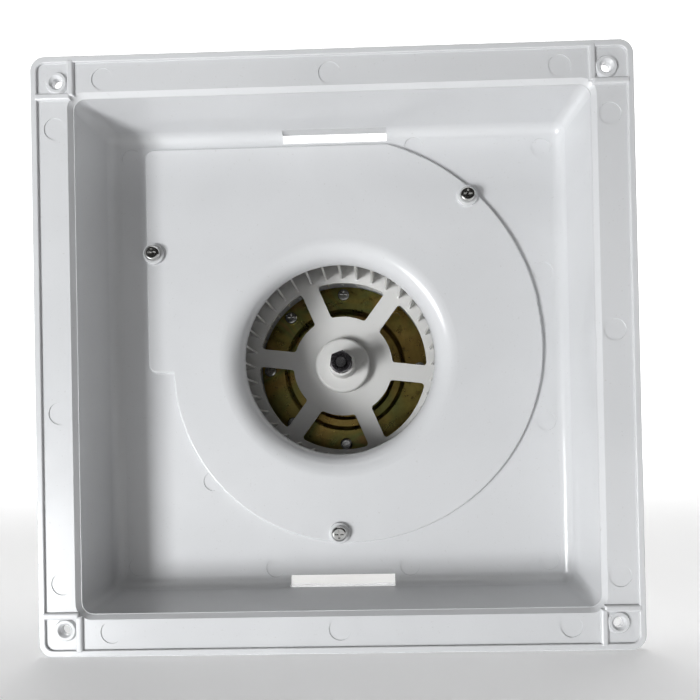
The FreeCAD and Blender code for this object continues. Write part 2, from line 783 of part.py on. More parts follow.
def shaft_line():
    turned("motor_shaft", [
        (0, shaft_front), (thread_radius - 0.5, shaft_front), (thread_radius, shaft_front + 0.5),
        (thread_radius, shaft_step), (shaft_radius, shaft_step), (shaft_radius, shaft_rear - 0.6),
        (shaft_radius - 0.6, shaft_rear), (0, shaft_rear)])
    turned("impeller_bush", [
        (shaft_radius, shaft_step), (insert_radius, shaft_step),
        (insert_radius, disc_front + disc_thick + 6), (shaft_radius, disc_front + disc_thick + 6)])
    nut_front = collar_front - washer_height - nut_height
    nut = hex_nut(number(nut_flats), number(thread_radius), number(nut_height))
    nut.translate(VECTOR(0, number(nut_front), 0))
    solid("shaft_nut", nut)
    turned("lock_washer", [
        (thread_radius + 0.1, collar_front - washer_height), (washer_radius, collar_front - washer_height),
        (washer_radius, collar_front), (thread_radius + 0.1, collar_front)])
    stack_rear = stack_front + stack_length
    turned("rotor_core", [
        (shaft_radius, stack_front), (rotor_radius, stack_front),
        (rotor_radius, stack_rear), (shaft_radius, stack_rear)])
    ring_inner = rotor_radius - 6
    front_ring = turned("rotor_front_ring", [
        (ring_inner, stack_front - end_ring_height), (rotor_radius - 0.6, stack_front - end_ring_height),
        (rotor_radius - 0.2, stack_front), (ring_inner, stack_front)])
    rear_ring = turned("rotor_rear_ring", [
        (ring_inner, stack_rear), (rotor_radius - 0.2, stack_rear),
        (rotor_radius - 0.6, stack_rear + end_ring_height), (ring_inner, stack_rear + end_ring_height)])
    for label, start, length in (
            ("front_thrust_collar", front_bearing_at + bearing_length + 0.6, 3),
            ("rear_thrust_collar", rear_bearing_at - 3.6, 3)):
        turned(label, [
            (shaft_radius, start), (shaft_radius + 2.4, start),
            (shaft_radius + 2.4, start + length), (shaft_radius, start + length)])
    return front_ring, rear_ring


# ---------------------------------------------------------------- motor

def motor_plate():
    """Pressed front plate: flat rim, two-step dish and a forward cup for the bearing."""
    front, skin = plate_front, sheet_thick
    first, second = front + dish_step, front + dish_step * 2
    cup, nose = bearing_radius + 0.3, front_bearing_at - 0.4
    body = turned("motor_front_plate", [
        (shaft_radius + 0.8, nose - skin), (cup + skin - 0.7, nose - skin), (cup + skin, nose - skin + 0.7),
        (cup + skin, second), (dish_inner - skin - 1, second), (dish_inner - skin, second - 1),
        (dish_inner - skin, first + 1), (dish_inner - skin + 1, first),
        (dish_radius - skin - 1, first), (dish_radius - skin, first - 1),
        (dish_radius - skin, front + 1.2), (dish_radius - skin + 1.2, front),
        (plate_radius, front), (plate_radius, front + skin),
        (dish_radius + 0.6, front + skin), (dish_radius, front + skin + 0.6),
        (dish_radius, first + skin - 0.4), (dish_radius - 0.6, first + skin),
        (dish_inner + 0.6, first + skin), (dish_inner, first + skin + 0.6),
        (dish_inner, second + skin - 0.4), (dish_inner - 0.6, second + skin),
        (cup, second + skin), (cup, nose), (shaft_radius + 0.8, nose)])
    doc.recompute()
    angles = SCREW_ANGLES + EMPTY_HOLE_ANGLES
    centres = [(x, z) for x, z in (on_circle(fixing_circle, angle) for angle in angles)]
    ring_pocket(body, "motor_plate_holes", centres, fixing_hole - 0.15, skin + 2, front - 1)
    return body


def motor_can():
    """Drawn can behind the back wall, with a brim, vent holes and a rear bearing cup."""
    start, skin = BACK_WALL_REAR, sheet_thick
    cup = bearing_radius + 0.3
    rear = rear_bearing_at + bearing_length + 1.4
    body = turned("motor_can", [
        (stack_radius, start), (plate_radius - 0.5, start), (plate_radius - 0.5, start + skin),
        (can_radius + 1, start + skin), (can_radius, start + skin + 1),
        (can_radius, can_floor - 1), (can_radius - 2, can_floor + skin),
        (cup + skin, can_floor + skin), (cup + skin, rear), (cup + skin - 1, rear + skin),
        (0, rear + skin), (0, rear), (cup, rear), (cup, can_floor),
        (stack_radius - 1.6, can_floor), (stack_radius, can_floor - 1.2)])
    doc.recompute()
    centres = [(x, z) for x, z in (on_circle(fixing_circle, angle) for angle in SCREW_ANGLES)]
    ring_pocket(body, "motor_can_holes", centres, fixing_hole - 0.15, skin + 2, start - 1)
    vents = [(x, z) for x, z in (on_circle(23, 30 * index) for index in range(12))]
    ring_pocket(body, "motor_can_vents", vents, 2.6, 12, can_floor - 1)
    return body


def tooth_profile():
    """Stator section: a yoke ring with teeth that end in wide shoes."""
    yoke = y_rod(stack_radius, 0, 1)
    yoke = yoke.cut(y_rod(number(stack_radius) - number(yoke_width), -1, 2))
    pieces = []
    inner, outer = number(bore_radius), number(stack_radius) - number(yoke_width) + 1
    half = number(tooth_width) / 2
    for index in range(int(number(tooth_count))):
        tooth = block((-half, 0, inner - 2), (half, 1, outer))
        shoe = block((-5.4, 0, inner - 2), (5.4, 1, inner + 2.6))
        tooth = tooth.fuse(shoe)
        tooth.rotate(VECTOR(0, 0, 0), TO_BACK, index * 360 / number(tooth_count))
        pieces.append(tooth)
    section = yoke.fuse(pieces).cut(y_rod(bore_radius, -1, 2)).removeSplitter()
    return next(face for face in section.Faces if abs(face.CenterOfMass.y) < 0.01)


def stator():
    start, length = number(stack_front), number(stack_length)
    section = tooth_profile()
    core = slab(section, length)
    core.translate(VECTOR(0, start, 0))
    core = core.common(y_rod(stack_radius, start - 1, start + length + 1))
    solid("stator_core", largest(core))
    sheet = 0.8
    ends = []
    for begin in (start - sheet, start + length):
        end = slab(section, sheet)
        end.translate(VECTOR(0, begin, 0))
        ends.append(end.cut(y_rod(stack_radius + 1, begin - 1, begin + 2).cut(
            y_rod(stack_radius - 1, begin - 2, begin + 3))))
    solid("stator_insulators", Part.makeCompound(ends))
    head = number(coil_head)
    low, high = number(bore_radius) + 3.2, number(stack_radius) - number(yoke_width) - 0.6
    half_hole, half_coil = number(tooth_width) / 2 + 0.3, number(tooth_width) / 2 + 3.6
    coils = []
    for index in range(int(number(tooth_count))):
        overhang = sheet + head
        coil = block((-half_coil, start - overhang, low), (half_coil, start + length + overhang, high))
        coil = coil.makeFillet(2.2, [edge for edge in coil.Edges
                                     if abs(edge.Vertexes[0].Z - edge.Vertexes[-1].Z) > 1])
        coil = coil.cut(block((-half_hole, start - sheet - 0.1, low - 1),
                              (half_hole, start + length + sheet + 0.1, high + 1)))
        coil.rotate(VECTOR(0, 0, 0), TO_BACK, index * 360 / number(tooth_count))
        coils.append(coil)
    solid("stator_coils", Part.makeCompound(coils))


def bearings():
    for label, start in (("front_bearing", front_bearing_at), ("rear_bearing", rear_bearing_at)):
        bore = shaft_radius + running_gap
        middle = bearing_length / 2
        turned(label, [
            (bore, start), (bearing_radius - 1.6, start), (bearing_radius, start + middle - 2),
            (bearing_radius, start + middle + 2), (bearing_radius - 1.6, start + bearing_length),
            (bore, start + bearing_length)])


# ---------------------------------------------------------------- duct adaptor and flap

def adaptor_screw_places():
    """Four screws round the outlet's mouth, as (x, y, z) on the adaptor's outer face.

    They stay behind the tray's floor, so that none of them reaches into the tray.
    """
    x = -number(outlet_end) - number(adaptor_plate)
    middle, spread = number(duct_centre_y), number(adaptor_spread)
    low, high = number(outlet_low) - 3, number(outlet_high) + 3
    return [(x, middle + side * spread, z) for side in (-1, 1) for z in (low, high)]


def duct_adaptor():
    """Square plate with a round collar for the duct, a stop ring and hinge eyes."""
    left = -number(outlet_end)
    plate = number(adaptor_plate)
    middle_y, middle_z = number(duct_centre_y), number(duct_centre_z)
    radius, skin = number(duct_radius), number(duct_wall)
    half = radius + 1
    shape = block((left - plate, middle_y - half, middle_z - half), (left, middle_y + half, middle_z + half))
    shape = shape.makeFillet(4, [edge for edge in shape.Edges
                                 if abs(edge.Vertexes[0].X - edge.Vertexes[-1].X) > 1])
    outward = VECTOR(-1, 0, 0)
    start = VECTOR(left - plate, middle_y, middle_z)
    length = number(collar_end) - number(outlet_end) - plate
    collar = Part.makeCylinder(radius, length, start, outward)
    collar = collar.makeFillet(0.8, edges_at(collar, lambda point: point.x < left - plate - length + 0.1))
    shape = shape.fuse(collar)
    bore = Part.makeCylinder(radius - skin, length + plate + 2, VECTOR(left + 1, middle_y, middle_z), outward)
    shape = shape.cut(bore)
    stop_end = number(flap_plane) - number(flap_thick) / 2 - 0.35 - number(outlet_end)
    stop_rim = VECTOR(left - stop_end + 2.4, middle_y, middle_z)
    stop_bore = VECTOR(left - stop_end + 4, middle_y, middle_z)
    stop = Part.makeCylinder(radius - skin + 0.5, 2.4, stop_rim, outward)
    stop = stop.cut(Part.makeCylinder(radius - skin - 3.4, 5, stop_bore, outward))
    pivot = middle_z + number(flap_pivot_up)
    stop = stop.cut(block((-200, 0, pivot - 7), (0, 200, pivot + 40)))
    shape = shape.fuse(stop)
    pin_y = number(pin_half_length())
    within = Part.makeCylinder(radius, 40, VECTOR(left, middle_y, middle_z), outward)
    for side in (-1, 1):
        eye_foot = VECTOR(-number(flap_plane), middle_y + side * (pin_y - 4.2), pivot)
        eye = Part.makeCylinder(3.2, 5.2, eye_foot, VECTOR(0, side, 0))
        shape = shape.fuse(eye.common(within))
    pin_hole = Part.makeCylinder(number(pin_radius), 2 * pin_y + 1,
                                 VECTOR(-number(flap_plane), middle_y - pin_y - 0.5, pivot), TO_BACK)
    shape = shape.cut(pin_hole)
    for x, y, z in adaptor_screw_places():
        shape = shape.cut(Part.makeCylinder(1.7, plate + 2, VECTOR(x - 1, y, z), VECTOR(1, 0, 0)))
    return solid("duct_adaptor", largest(shape.removeSplitter()))


def pin_half_length():
    reach = (number(duct_radius) - 1.2) ** 2 - number(flap_pivot_up) ** 2
    return math.sqrt(reach)


def flap():
    """Round flap cut off above its pivot, with a hinge barrel and a stiffening cross."""
    x, middle_y, middle_z = -number(flap_plane), number(duct_centre_y), number(duct_centre_z)
    pivot = middle_z + number(flap_pivot_up)
    thick = number(flap_thick)
    disc = Part.makeCylinder(number(flap_radius), thick, VECTOR(x - thick / 2, middle_y, middle_z),
                             VECTOR(1, 0, 0))
    disc = disc.cut(block((x - 5, 0, pivot + 1), (x + 5, 200, pivot + 40)))
    half = pin_half_length() - 5.0
    barrel = Part.makeCylinder(2.6, 2 * half, VECTOR(x, middle_y - half, pivot), TO_BACK)
    ears = disc.common(block((x - 5, middle_y - 60, pivot - 4.5), (x + 5, middle_y - half, pivot + 9)))
    other = disc.common(block((x - 5, middle_y + half, pivot - 4.5), (x + 5, middle_y + 60, pivot + 9)))
    shape = disc.cut(ears).cut(other).fuse(barrel)
    for angle in (-35, 0, 35):
        rib = block((x - thick / 2 - 1.2, middle_y - 0.8, middle_z - number(flap_radius) + 5),
                    (x, middle_y + 0.8, pivot - 2))
        rib.rotate(VECTOR(x, middle_y, pivot - 2), VECTOR(1, 0, 0), angle)
        shape = shape.fuse(rib.common(Part.makeCylinder(number(flap_radius) - 3, 10,
                                                        VECTOR(x - 5, middle_y, middle_z), VECTOR(1, 0, 0))))
    bore = number(pin_radius) + number(running_gap)
    shape = shape.cut(Part.makeCylinder(bore, 2 * half + 2, VECTOR(x, middle_y - half - 1, pivot), TO_BACK))
    solid("backdraft_flap", largest(shape.removeSplitter()))
    reach = pin_half_length()
    pivot_z = duct_centre_z + flap_pivot_up
    rod("flap_pin", "Y", pin_radius, 2 * reach, -flap_plane, duct_centre_y - reach, pivot_z)


def adaptor_screws():
    screw = screw_shape(2.9, 1.9, 1.3, 8)
    screw.rotate(VECTOR(0, 0, 0), VECTOR(0, 0, 1), -90)
    solid("adaptor_screws", copies(screw, adaptor_screw_places()))


# ---------------------------------------------------------------- electrical box

def box_screw_places():
    low, size = number(box_low), number(box_size)
    return [(low + 9, low + 13), (low + size - 9, low + 13)]


def capacitor_places():
    return [(58, -99)]


def electrical_box():
    """Open box on the tray's back for the mains connection, with a lid and its parts."""
    low, size, depth, skin = box_low, box_size, box_depth, box_wall
    high = low + size
    back = FLOOR_BACK
    shell = box("box_outer", (low, high), (back + 5, back + depth), (low, high))
    hollow = box("box_hollow", (low + skin, high - skin), (back + 5 + skin, back + depth + 1),
                 (low + skin, high - skin))
    middle, entry_depth = low + size / 2, back + depth / 2 + 4
    entry = rod("box_entry_hole", "Z", entry_radius + 1.6, skin + 2, middle, entry_depth, low - 1)
    lead_depth = back + depth - 8
    lead = rod("box_lead_hole", "X", lead_radius + 1.2, skin + 2, high - skin - 1, lead_depth, high - 12)
    holes = [rod(f"box_fixing_{index}", "Y", 1.7, skin + 2, x, back + 4, z)
             for index, (x, z) in enumerate(box_screw_places())]
    tools = fuse("box_cutters", [hollow, entry, lead] + holes)
    post = rod("lid_post", "Y", 3, depth - 8.5 - skin, middle, back + 5 + skin, middle)
    tray = fuse("box_with_post", [cut("box_shell", shell, tools), post])
    post_hole = rod("lid_post_hole", "Y", 1.3, 12, middle, back + depth - 12, middle)
    item = cut("terminal_box", tray, post_hole)
    item.Label = "terminal_box"
    rim = back + depth
    plate_span, plug_span = (low - 0.5, high + 0.5), (low + skin + 0.3, high - skin - 0.3)
    lid_plate = box("lid_plate", plate_span, (rim, rim + 2), plate_span)
    lid_plug = box("lid_plug", plug_span, (rim - 1.5, rim), plug_span)
    lid_hole = rod("lid_hole", "Y", 1.7, 6, middle, rim - 2, middle)
    lid = cut("box_lid", fuse("lid_body", [lid_plate, lid_plug]), lid_hole)
    lid.Label = "box_lid"


def terminal_parts():
    low, size, depth = number(box_low), number(box_size), number(box_depth)
    high, back = low + size, number(FLOOR_BACK)
    floor = back + 5 + number(box_wall)
    block_low = (low + 7, floor, high - 14)
    block_shape = block(block_low, (low + 33, floor + 13, high - 4))
    for index in range(3):
        x = low + 11.5 + 8.5 * index
        block_shape = block_shape.cut(y_rod(2.2, floor + 7, floor + 14, x, high - 9))
        wire_way = Part.makeCylinder(1.6, 14, VECTOR(x, floor + 4, high - 16), VECTOR(0, 0, 1))
        block_shape = block_shape.cut(wire_way)
    solid("terminal_block", block_shape)
    clamp = screw_shape(2.0, 1.4, 1.2, 4)
    clamp.rotate(VECTOR(0, 0, 0), VECTOR(1, 0, 0), 180)
    places = [(low + 11.5 + 8.5 * index, floor + 10.5, high - 9) for index in range(3)]
    solid("terminal_screws", copies(clamp, places))
    fixing = screw_shape(2.9, 1.9, 1.3, 8)
    fixing.rotate(VECTOR(0, 0, 0), VECTOR(1, 0, 0), 180)
    solid("box_screws", copies(fixing, [(x, floor, z) for x, z in box_screw_places()]))
    middle = low + size / 2
    lid_screw = screw_shape(3.0, 2.0, 1.3, 10)
    lid_screw.rotate(VECTOR(0, 0, 0), VECTOR(1, 0, 0), 180)
    solid("lid_screw", copies(lid_screw, [(middle, back + depth + 2, middle)]))
    entry_y = back + depth / 2 + 4
    inner, hole = number(entry_radius), number(entry_radius) + 1.6
    grommet = upright_rod(hole, 2, middle, entry_y, low)
    grommet = grommet.fuse(upright_rod(hole + 1.8, 1.6, middle, entry_y, low - 1.6))
    grommet = grommet.fuse(upright_rod(hole + 1.4, 1.6, middle, entry_y, low + 2))
    grommet = grommet.cut(upright_rod(inner, 12, middle, entry_y, low - 4))
    solid("mains_grommet", grommet.removeSplitter())


def capacitor():
    """Box capacitor beside the scroll, held by one moulded ear and a screw."""
    back = number(FLOOR_BACK)
    body = block((63, back + 9.3, -103), (99, back + 24, -88))
    body = body.makeFillet(1.2, body.Edges)
    ear = block((53, back + 5, -103), (80, back + 9.5, -93))
    ear = ear.makeFillet(1.5, edges_at(ear, lambda point: point.x < 60))
    shape = body.fuse(ear)
    x, z = capacitor_places()[0]
    shape = shape.cut(y_rod(1.7, back, back + 12, x, z))
    solid("run_capacitor", shape.removeSplitter())
    screw = screw_shape(2.9, 1.9, 1.3, 8)
    screw.rotate(VECTOR(0, 0, 0), VECTOR(1, 0, 0), 180)
    solid("capacitor_screw", copies(screw, [(x, back + 9.5, z)]))


# ---------------------------------------------------------------- leads

def tube(points, radius):
    """Round lead along straight runs joined by tangent arcs."""
    corners = [VECTOR(*point) for point in points]
    edges, begin = [], corners[0]
    for before, corner, after in zip(corners, corners[1:], corners[2:]):
        toward, away = (corner - before).normalize(), (after - corner).normalize()
        turn = toward.getAngle(away)
        shorter = min((corner - before).Length, (after - corner).Length)
        setback = 0.45 * shorter
        bend = setback / math.tan(turn / 2)
        start, end = corner - toward * setback, corner + away * setback
        inward = (away - toward).normalize()
        centre = corner + inward * (bend / math.cos(turn / 2))
        middle = centre - inward * bend
        edges.append(Part.LineSegment(begin, start).toShape())
        edges.append(Part.Arc(start, middle, end).toShape())
        begin = end
    edges.append(Part.LineSegment(begin, corners[-1]).toShape())
    path = Part.Wire(edges)
    heading = (corners[1] - corners[0]).normalize()
    ring = Part.Wire(Part.makeCircle(radius, corners[0], heading))
    return path.makePipeShell([ring], True, False)


def leads():
    high = number(box_low) + number(box_size)
    lid_level = number(FLOOR_BACK) + number(box_depth)
    wall_back = number(BACK_WALL_REAR)
    radius = number(lead_radius)
    exit_x, exit_z = on_circle(can_radius - 1, 205)
    outward_x, outward_z = on_circle(1, 205)
    level = wall_back + 22
    motor_route = [
        (exit_x, level, exit_z),
        (exit_x + 14 * outward_x, level, exit_z + 14 * outward_z),
        (exit_x + 26 * outward_x - 4, level - 8, exit_z + 26 * outward_z),
        (exit_x - 19, wall_back + 4.5, exit_z - 45),
        (exit_x - 23, wall_back - 22, high - 16),
        (high + 16, lid_level - 9, high - 12.6),
        (high - 3, lid_level - 8, high - 12),
    ]
    solid("motor_lead", tube(motor_route, radius))


# ---------------------------------------------------------------- build and export

def build():
    housing()
    scroll_cover()
    impeller()
    fasteners()
    front_ring, rear_ring = shaft_line()
    end_rings = group("rotor_end_rings", [front_ring, rear_ring])
    end_rings.Label = "rotor_end_rings"
    motor_plate()
    motor_can()
    stator()
    bearings()
    duct_adaptor()
    flap()
    adaptor_screws()
    electrical_box()
    terminal_parts()
    capacitor()
    leads()
    doc.recompute()


NODES = (
    "housing", "scroll_cover", "cover_screws", "impeller", "impeller_bush", "lock_washer", "shaft_nut",
    "motor_shaft", "rotor_core", "rotor_end_rings", "front_thrust_collar", "rear_thrust_collar",
    "front_bearing", "rear_bearing", "stator_core", "stator_insulators", "stator_coils",
    "motor_front_plate", "motor_can", "motor_screws", "motor_nuts", "motor_lead",
    "duct_adaptor", "adaptor_screws", "backdraft_flap", "flap_pin",
    "terminal_box", "box_lid", "lid_screw", "box_screws", "terminal_block", "terminal_screws",
    "mains_grommet", "run_capacitor", "capacitor_screw",
)


def export():
    for item in doc.Objects:
        if "Invalid" in item.State or "Error" in item.State:
            raise ValueError(f"{item.Name} failed: {item.State}")
    os.makedirs("parts", exist_ok=True)
    for label in NODES:
        item = doc.getObjectsByLabel(label)[0]
        shape = item.Shape
        if shape.isNull() or not shape.isValid():
            raise ValueError(f"{label} has no valid shape")
        if not shape.Solids:
            raise ValueError(f"{label} holds no solid")
        shape.exportStep(f"parts/{label}.step")
        bounds = shape.BoundBox
        print(f"{label}: {len(shape.Solids)} solids, {shape.Volume / 1000:.2f} cm3,"
              f" x {bounds.XMin:.1f} {bounds.XMax:.1f}, y {bounds.YMin:.1f} {bounds.YMax:.1f},"
              f" z {bounds.ZMin:.1f} {bounds.ZMax:.1f}")


build()
export()
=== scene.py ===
"""Looks of the bathroom extractor fan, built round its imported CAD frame.

Lengths are in metres, in the frame of the part: +Z up, the open tray faces -Y.
"""
import bpy
import json
import math
from mathutils import Euler, Matrix, Vector


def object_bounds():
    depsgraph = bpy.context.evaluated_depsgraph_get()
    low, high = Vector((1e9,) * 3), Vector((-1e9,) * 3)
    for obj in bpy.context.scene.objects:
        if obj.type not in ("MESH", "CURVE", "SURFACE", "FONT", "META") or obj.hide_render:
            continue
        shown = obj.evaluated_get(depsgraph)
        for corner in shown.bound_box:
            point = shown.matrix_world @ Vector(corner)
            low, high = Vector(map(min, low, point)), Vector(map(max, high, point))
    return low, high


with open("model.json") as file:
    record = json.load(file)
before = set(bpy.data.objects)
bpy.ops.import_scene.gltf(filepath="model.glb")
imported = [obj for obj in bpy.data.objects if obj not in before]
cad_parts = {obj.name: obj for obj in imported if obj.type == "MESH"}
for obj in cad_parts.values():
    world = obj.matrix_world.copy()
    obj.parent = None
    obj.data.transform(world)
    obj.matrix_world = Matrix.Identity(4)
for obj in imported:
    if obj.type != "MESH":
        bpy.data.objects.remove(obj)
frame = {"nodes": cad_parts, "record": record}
CAD_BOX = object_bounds()
MM = 0.001


# ---------------------------------------------------------------- material helpers

class Nodes:
    """Small helper that adds and links shader nodes in one material."""

    def __init__(self, name):
        self.material = bpy.data.materials.new(name)
        self.material.use_nodes = True
        self.tree = self.material.node_tree
        self.tree.nodes.clear()
        self.output = self.add("ShaderNodeOutputMaterial")
        self.shader = self.add("ShaderNodeBsdfPrincipled")
        self.link(self.shader, "BSDF", self.output, "Surface")
        self.place = self.add("ShaderNodeTexCoord")

    def add(self, kind, **settings):
        node = self.tree.nodes.new(kind)
        for key, value in settings.items():
            setattr(node, key, value)
        return node

    def link(self, source, output, target, socket):
        self.tree.links.new(source.outputs[output], target.inputs[socket])

    def set(self, **values):
        for key, value in values.items():
            self.shader.inputs[key.replace("_", " ")].default_value = value

    def noise(self, scale, detail=4.0, roughness=0.55, stretch=(1, 1, 1), distortion=0.0):
        """Noise in object space; scale counts features per metre."""
        mapping = self.add("ShaderNodeMapping")
        mapping.inputs["Scale"].default_value = stretch
        self.link(self.place, "Object", mapping, "Vector")
        noise = self.add("ShaderNodeTexNoise")
        noise.inputs["Scale"].default_value = scale
        noise.inputs["Detail"].default_value = detail
        noise.inputs["Roughness"].default_value = roughness
        noise.inputs["Distortion"].default_value = distortion
        self.link(mapping, "Vector", noise, "Vector")
        return noise

    def ramp(self, source, output, stops):
        """Colour ramp; stops are (position, colour) pairs, a colour being a number or RGB."""
        ramp = self.add("ShaderNodeValToRGB")
        elements = ramp.color_ramp.elements
        while len(elements) < len(stops):
            elements.new(0.5)
        for element, (position, colour) in zip(elements, stops):
            element.position = position
            if isinstance(colour, (int, float)):
                colour = (colour, colour, colour)
            element.color = (*colour, 1)
        self.link(source, output, ramp, "Fac")
        return ramp

    def mix(self, factor, first, second, blend="MIX"):
        """Mix two colour outputs, each a (node, output) pair; factor is a number or a pair."""
        mix = self.add("ShaderNodeMix", data_type="RGBA", blend_type=blend)
        if isinstance(factor, (int, float)):
            mix.inputs[0].default_value = factor
        else:
            self.link(*factor, mix, 0)
        for slot, value in ((6, first), (7, second)):
            self.link(*value, mix, slot)
        return mix

    def bump(self, layers):
        """Chain of bumps; each layer is (node, output, strength, distance in metres)."""
        previous = None
        for node, output, strength, distance in layers:
            bump = self.add("ShaderNodeBump")
            bump.inputs["Strength"].default_value = strength
            bump.inputs["Distance"].default_value = distance
            self.link(node, output, bump, "Height")
            if previous:
                self.link(previous, "Normal", bump, "Normal")
            previous = bump
        self.link(previous, "Normal", self.shader, "Normal")


def scratches(nodes, scale, width):
    """Thin hairlines: the narrow middle band of a stretched, warped noise."""
    noise = nodes.noise(scale, detail=2.0, stretch=(1, 0.6, 0.06), distortion=0.4)
    return nodes.ramp(noise, "Fac", [(0.5 - width, 0.0), (0.5, 1.0), (0.5 + width, 0.0)])


def moulded_plastic(name, colour, shade, gloss, spread, grain=0.12, coat=0.0, glow=0.0):
    """Injection-moulded plastic: soft flow clouds, uneven gloss, hairlines and fine grain."""
    nodes = Nodes(name)
    clouds = nodes.noise(14, detail=3.0, roughness=0.5, distortion=0.6)
    tint = nodes.ramp(clouds, "Fac", [(0.30, shade), (0.70, colour)])
    specks = nodes.noise(900, detail=1.0)
    dust = nodes.ramp(specks, "Fac", [(0.70, (1, 1, 1)), (0.80, (0.86, 0.85, 0.83))])
    final = nodes.mix(0.55, (tint, "Color"), (dust, "Color"), blend="MULTIPLY")
    nodes.link(final, 2, nodes.shader, "Base Color")
    patches = nodes.noise(55, detail=5.0, roughness=0.6)
    sheen = nodes.ramp(patches, "Fac", [(0.25, gloss - spread), (0.75, gloss + spread)])
    lines = scratches(nodes, 120, 0.006)
    worn = nodes.mix((lines, "Color"), (sheen, "Color"), (dust, "Color"), blend="MULTIPLY")
    nodes.link(worn, 2, nodes.shader, "Roughness")
    flow = nodes.noise(38, detail=2.0, roughness=0.4)
    fine = nodes.noise(2600, detail=2.0)
    layers = [(flow, "Fac", 0.10, 0.0006), (fine, "Fac", grain, 0.00003)]
    nodes.bump(layers + [(lines, "Color", 0.08, -0.00002)])
    nodes.set(IOR=1.53, Coat_Weight=coat, Coat_Roughness=0.08)
    if glow:
        nodes.set(Subsurface_Weight=glow, Subsurface_Radius=(0.004, 0.0038, 0.0035), Subsurface_Scale=0.4)
    return nodes.material


def plain_metal(name, colour, shade, gloss, spread, turning=None, bump=0.12):
    """Bare or plated metal with tarnish clouds, fine scratches and optional turning marks."""
    nodes = Nodes(name)
    clouds = nodes.noise(90, detail=4.0)
    tint = nodes.ramp(clouds, "Fac", [(0.32, shade), (0.68, colour)])
    nodes.link(tint, "Color", nodes.shader, "Base Color")
    nodes.set(Metallic=1.0)
    patches = nodes.noise(260, detail=5.0, roughness=0.65)
    sheen = nodes.ramp(patches, "Fac", [(0.25, gloss - spread), (0.75, gloss + spread)])
    nodes.link(sheen, "Color", nodes.shader, "Roughness")
    lines = scratches(nodes, 700, 0.02)
    layers = [(patches, "Fac", bump, 0.00003), (lines, "Color", bump, -0.00002)]
    if turning:
        rings = nodes.add("ShaderNodeTexWave", wave_type=turning[0], bands_direction=turning[1])
        rings.inputs["Scale"].default_value = turning[2]
        rings.inputs["Distortion"].default_value = 0.6
        nodes.link(nodes.place, "Object", rings, "Vector")
        layers.append((rings, "Fac", 0.25, 0.00004))
    nodes.bump(layers)
    return nodes.material


def yellow_zinc(name):
    """Yellow passivated zinc: gold that drifts to olive, green and rose in slow bands."""
    nodes = Nodes(name)
    drift = nodes.noise(26, detail=2.0, roughness=0.45, distortion=1.6)
    hue = nodes.ramp(drift, "Fac", [
        (0.28, (0.52, 0.37, 0.12)), (0.40, (0.62, 0.46, 0.16)), (0.50, (0.52, 0.45, 0.15)),
        (0.58, (0.42, 0.44, 0.17)), (0.68, (0.60, 0.42, 0.18)), (0.78, (0.66, 0.50, 0.18))])
    stain = nodes.noise(170, detail=5.0, roughness=0.7)
    dull = nodes.ramp(stain, "Fac", [(0.35, (0.72, 0.66, 0.60)), (0.62, (1, 1, 1))])
    final = nodes.mix(0.7, (hue, "Color"), (dull, "Color"), blend="MULTIPLY")
    nodes.link(final, 2, nodes.shader, "Base Color")
    nodes.set(Metallic=1.0, Coat_Weight=0.25, Coat_Roughness=0.18)
    sheen = nodes.ramp(stain, "Fac", [(0.25, 0.20), (0.75, 0.42)])
    nodes.link(sheen, "Color", nodes.shader, "Roughness")
    rolled = nodes.noise(420, detail=3.0, stretch=(1, 1, 0.08))
    nodes.bump([(rolled, "Fac", 0.10, 0.00003), (stain, "Fac", 0.08, 0.00004)])
    return nodes.material


def laminated_steel(name):
    """Stack of thin electrical sheets: fine dark lines every millimetre along Y."""
    nodes = Nodes(name)
    sheets = nodes.add("ShaderNodeTexWave", wave_type="BANDS", bands_direction="Y", wave_profile="SIN")
    sheets.inputs["Scale"].default_value = 314.0
    sheets.inputs["Distortion"].default_value = 0.15
    nodes.link(nodes.place, "Object", sheets, "Vector")
    edge = nodes.ramp(sheets, "Fac", [(0.0, (0.05, 0.055, 0.06)), (0.35, (0.30, 0.31, 0.34))])
    rust = nodes.noise(140, detail=5.0, roughness=0.7)
    blush = nodes.ramp(rust, "Fac", [(0.58, (1, 1, 1)), (0.72, (0.75, 0.52, 0.36))])
    final = nodes.mix(0.6, (edge, "Color"), (blush, "Color"), blend="MULTIPLY")
    nodes.link(final, 2, nodes.shader, "Base Color")
    nodes.set(Metallic=0.9)
    rough = nodes.ramp(rust, "Fac", [(0.3, 0.34), (0.7, 0.55)])
    nodes.link(rough, "Color", nodes.shader, "Roughness")
    nodes.bump([(sheets, "Fac", 0.5, 0.0001)])
    return nodes.material


def wound_copper(name):
    """Enamelled wire laid in close turns."""
    nodes = Nodes(name)
    turns = nodes.add("ShaderNodeTexWave", wave_type="RINGS", rings_direction="Y", wave_profile="SIN")
    turns.inputs["Scale"].default_value = 420.0
    turns.inputs["Distortion"].default_value = 1.2
    nodes.link(nodes.place, "Object", turns, "Vector")
    wire = nodes.ramp(turns, "Fac", [(0.0, (0.16, 0.04, 0.015)), (0.6, (0.62, 0.24, 0.09))])
    nodes.link(wire, "Color", nodes.shader, "Base Color")
    nodes.set(Metallic=0.85, Coat_Weight=0.6, Coat_Roughness=0.12)
    varnish = nodes.noise(300, detail=4.0)
    rough = nodes.ramp(varnish, "Fac", [(0.3, 0.22), (0.7, 0.40)])
    nodes.link(rough, "Color", nodes.shader, "Roughness")
    nodes.bump([(turns, "Fac", 0.6, 0.00015)])
    return nodes.material


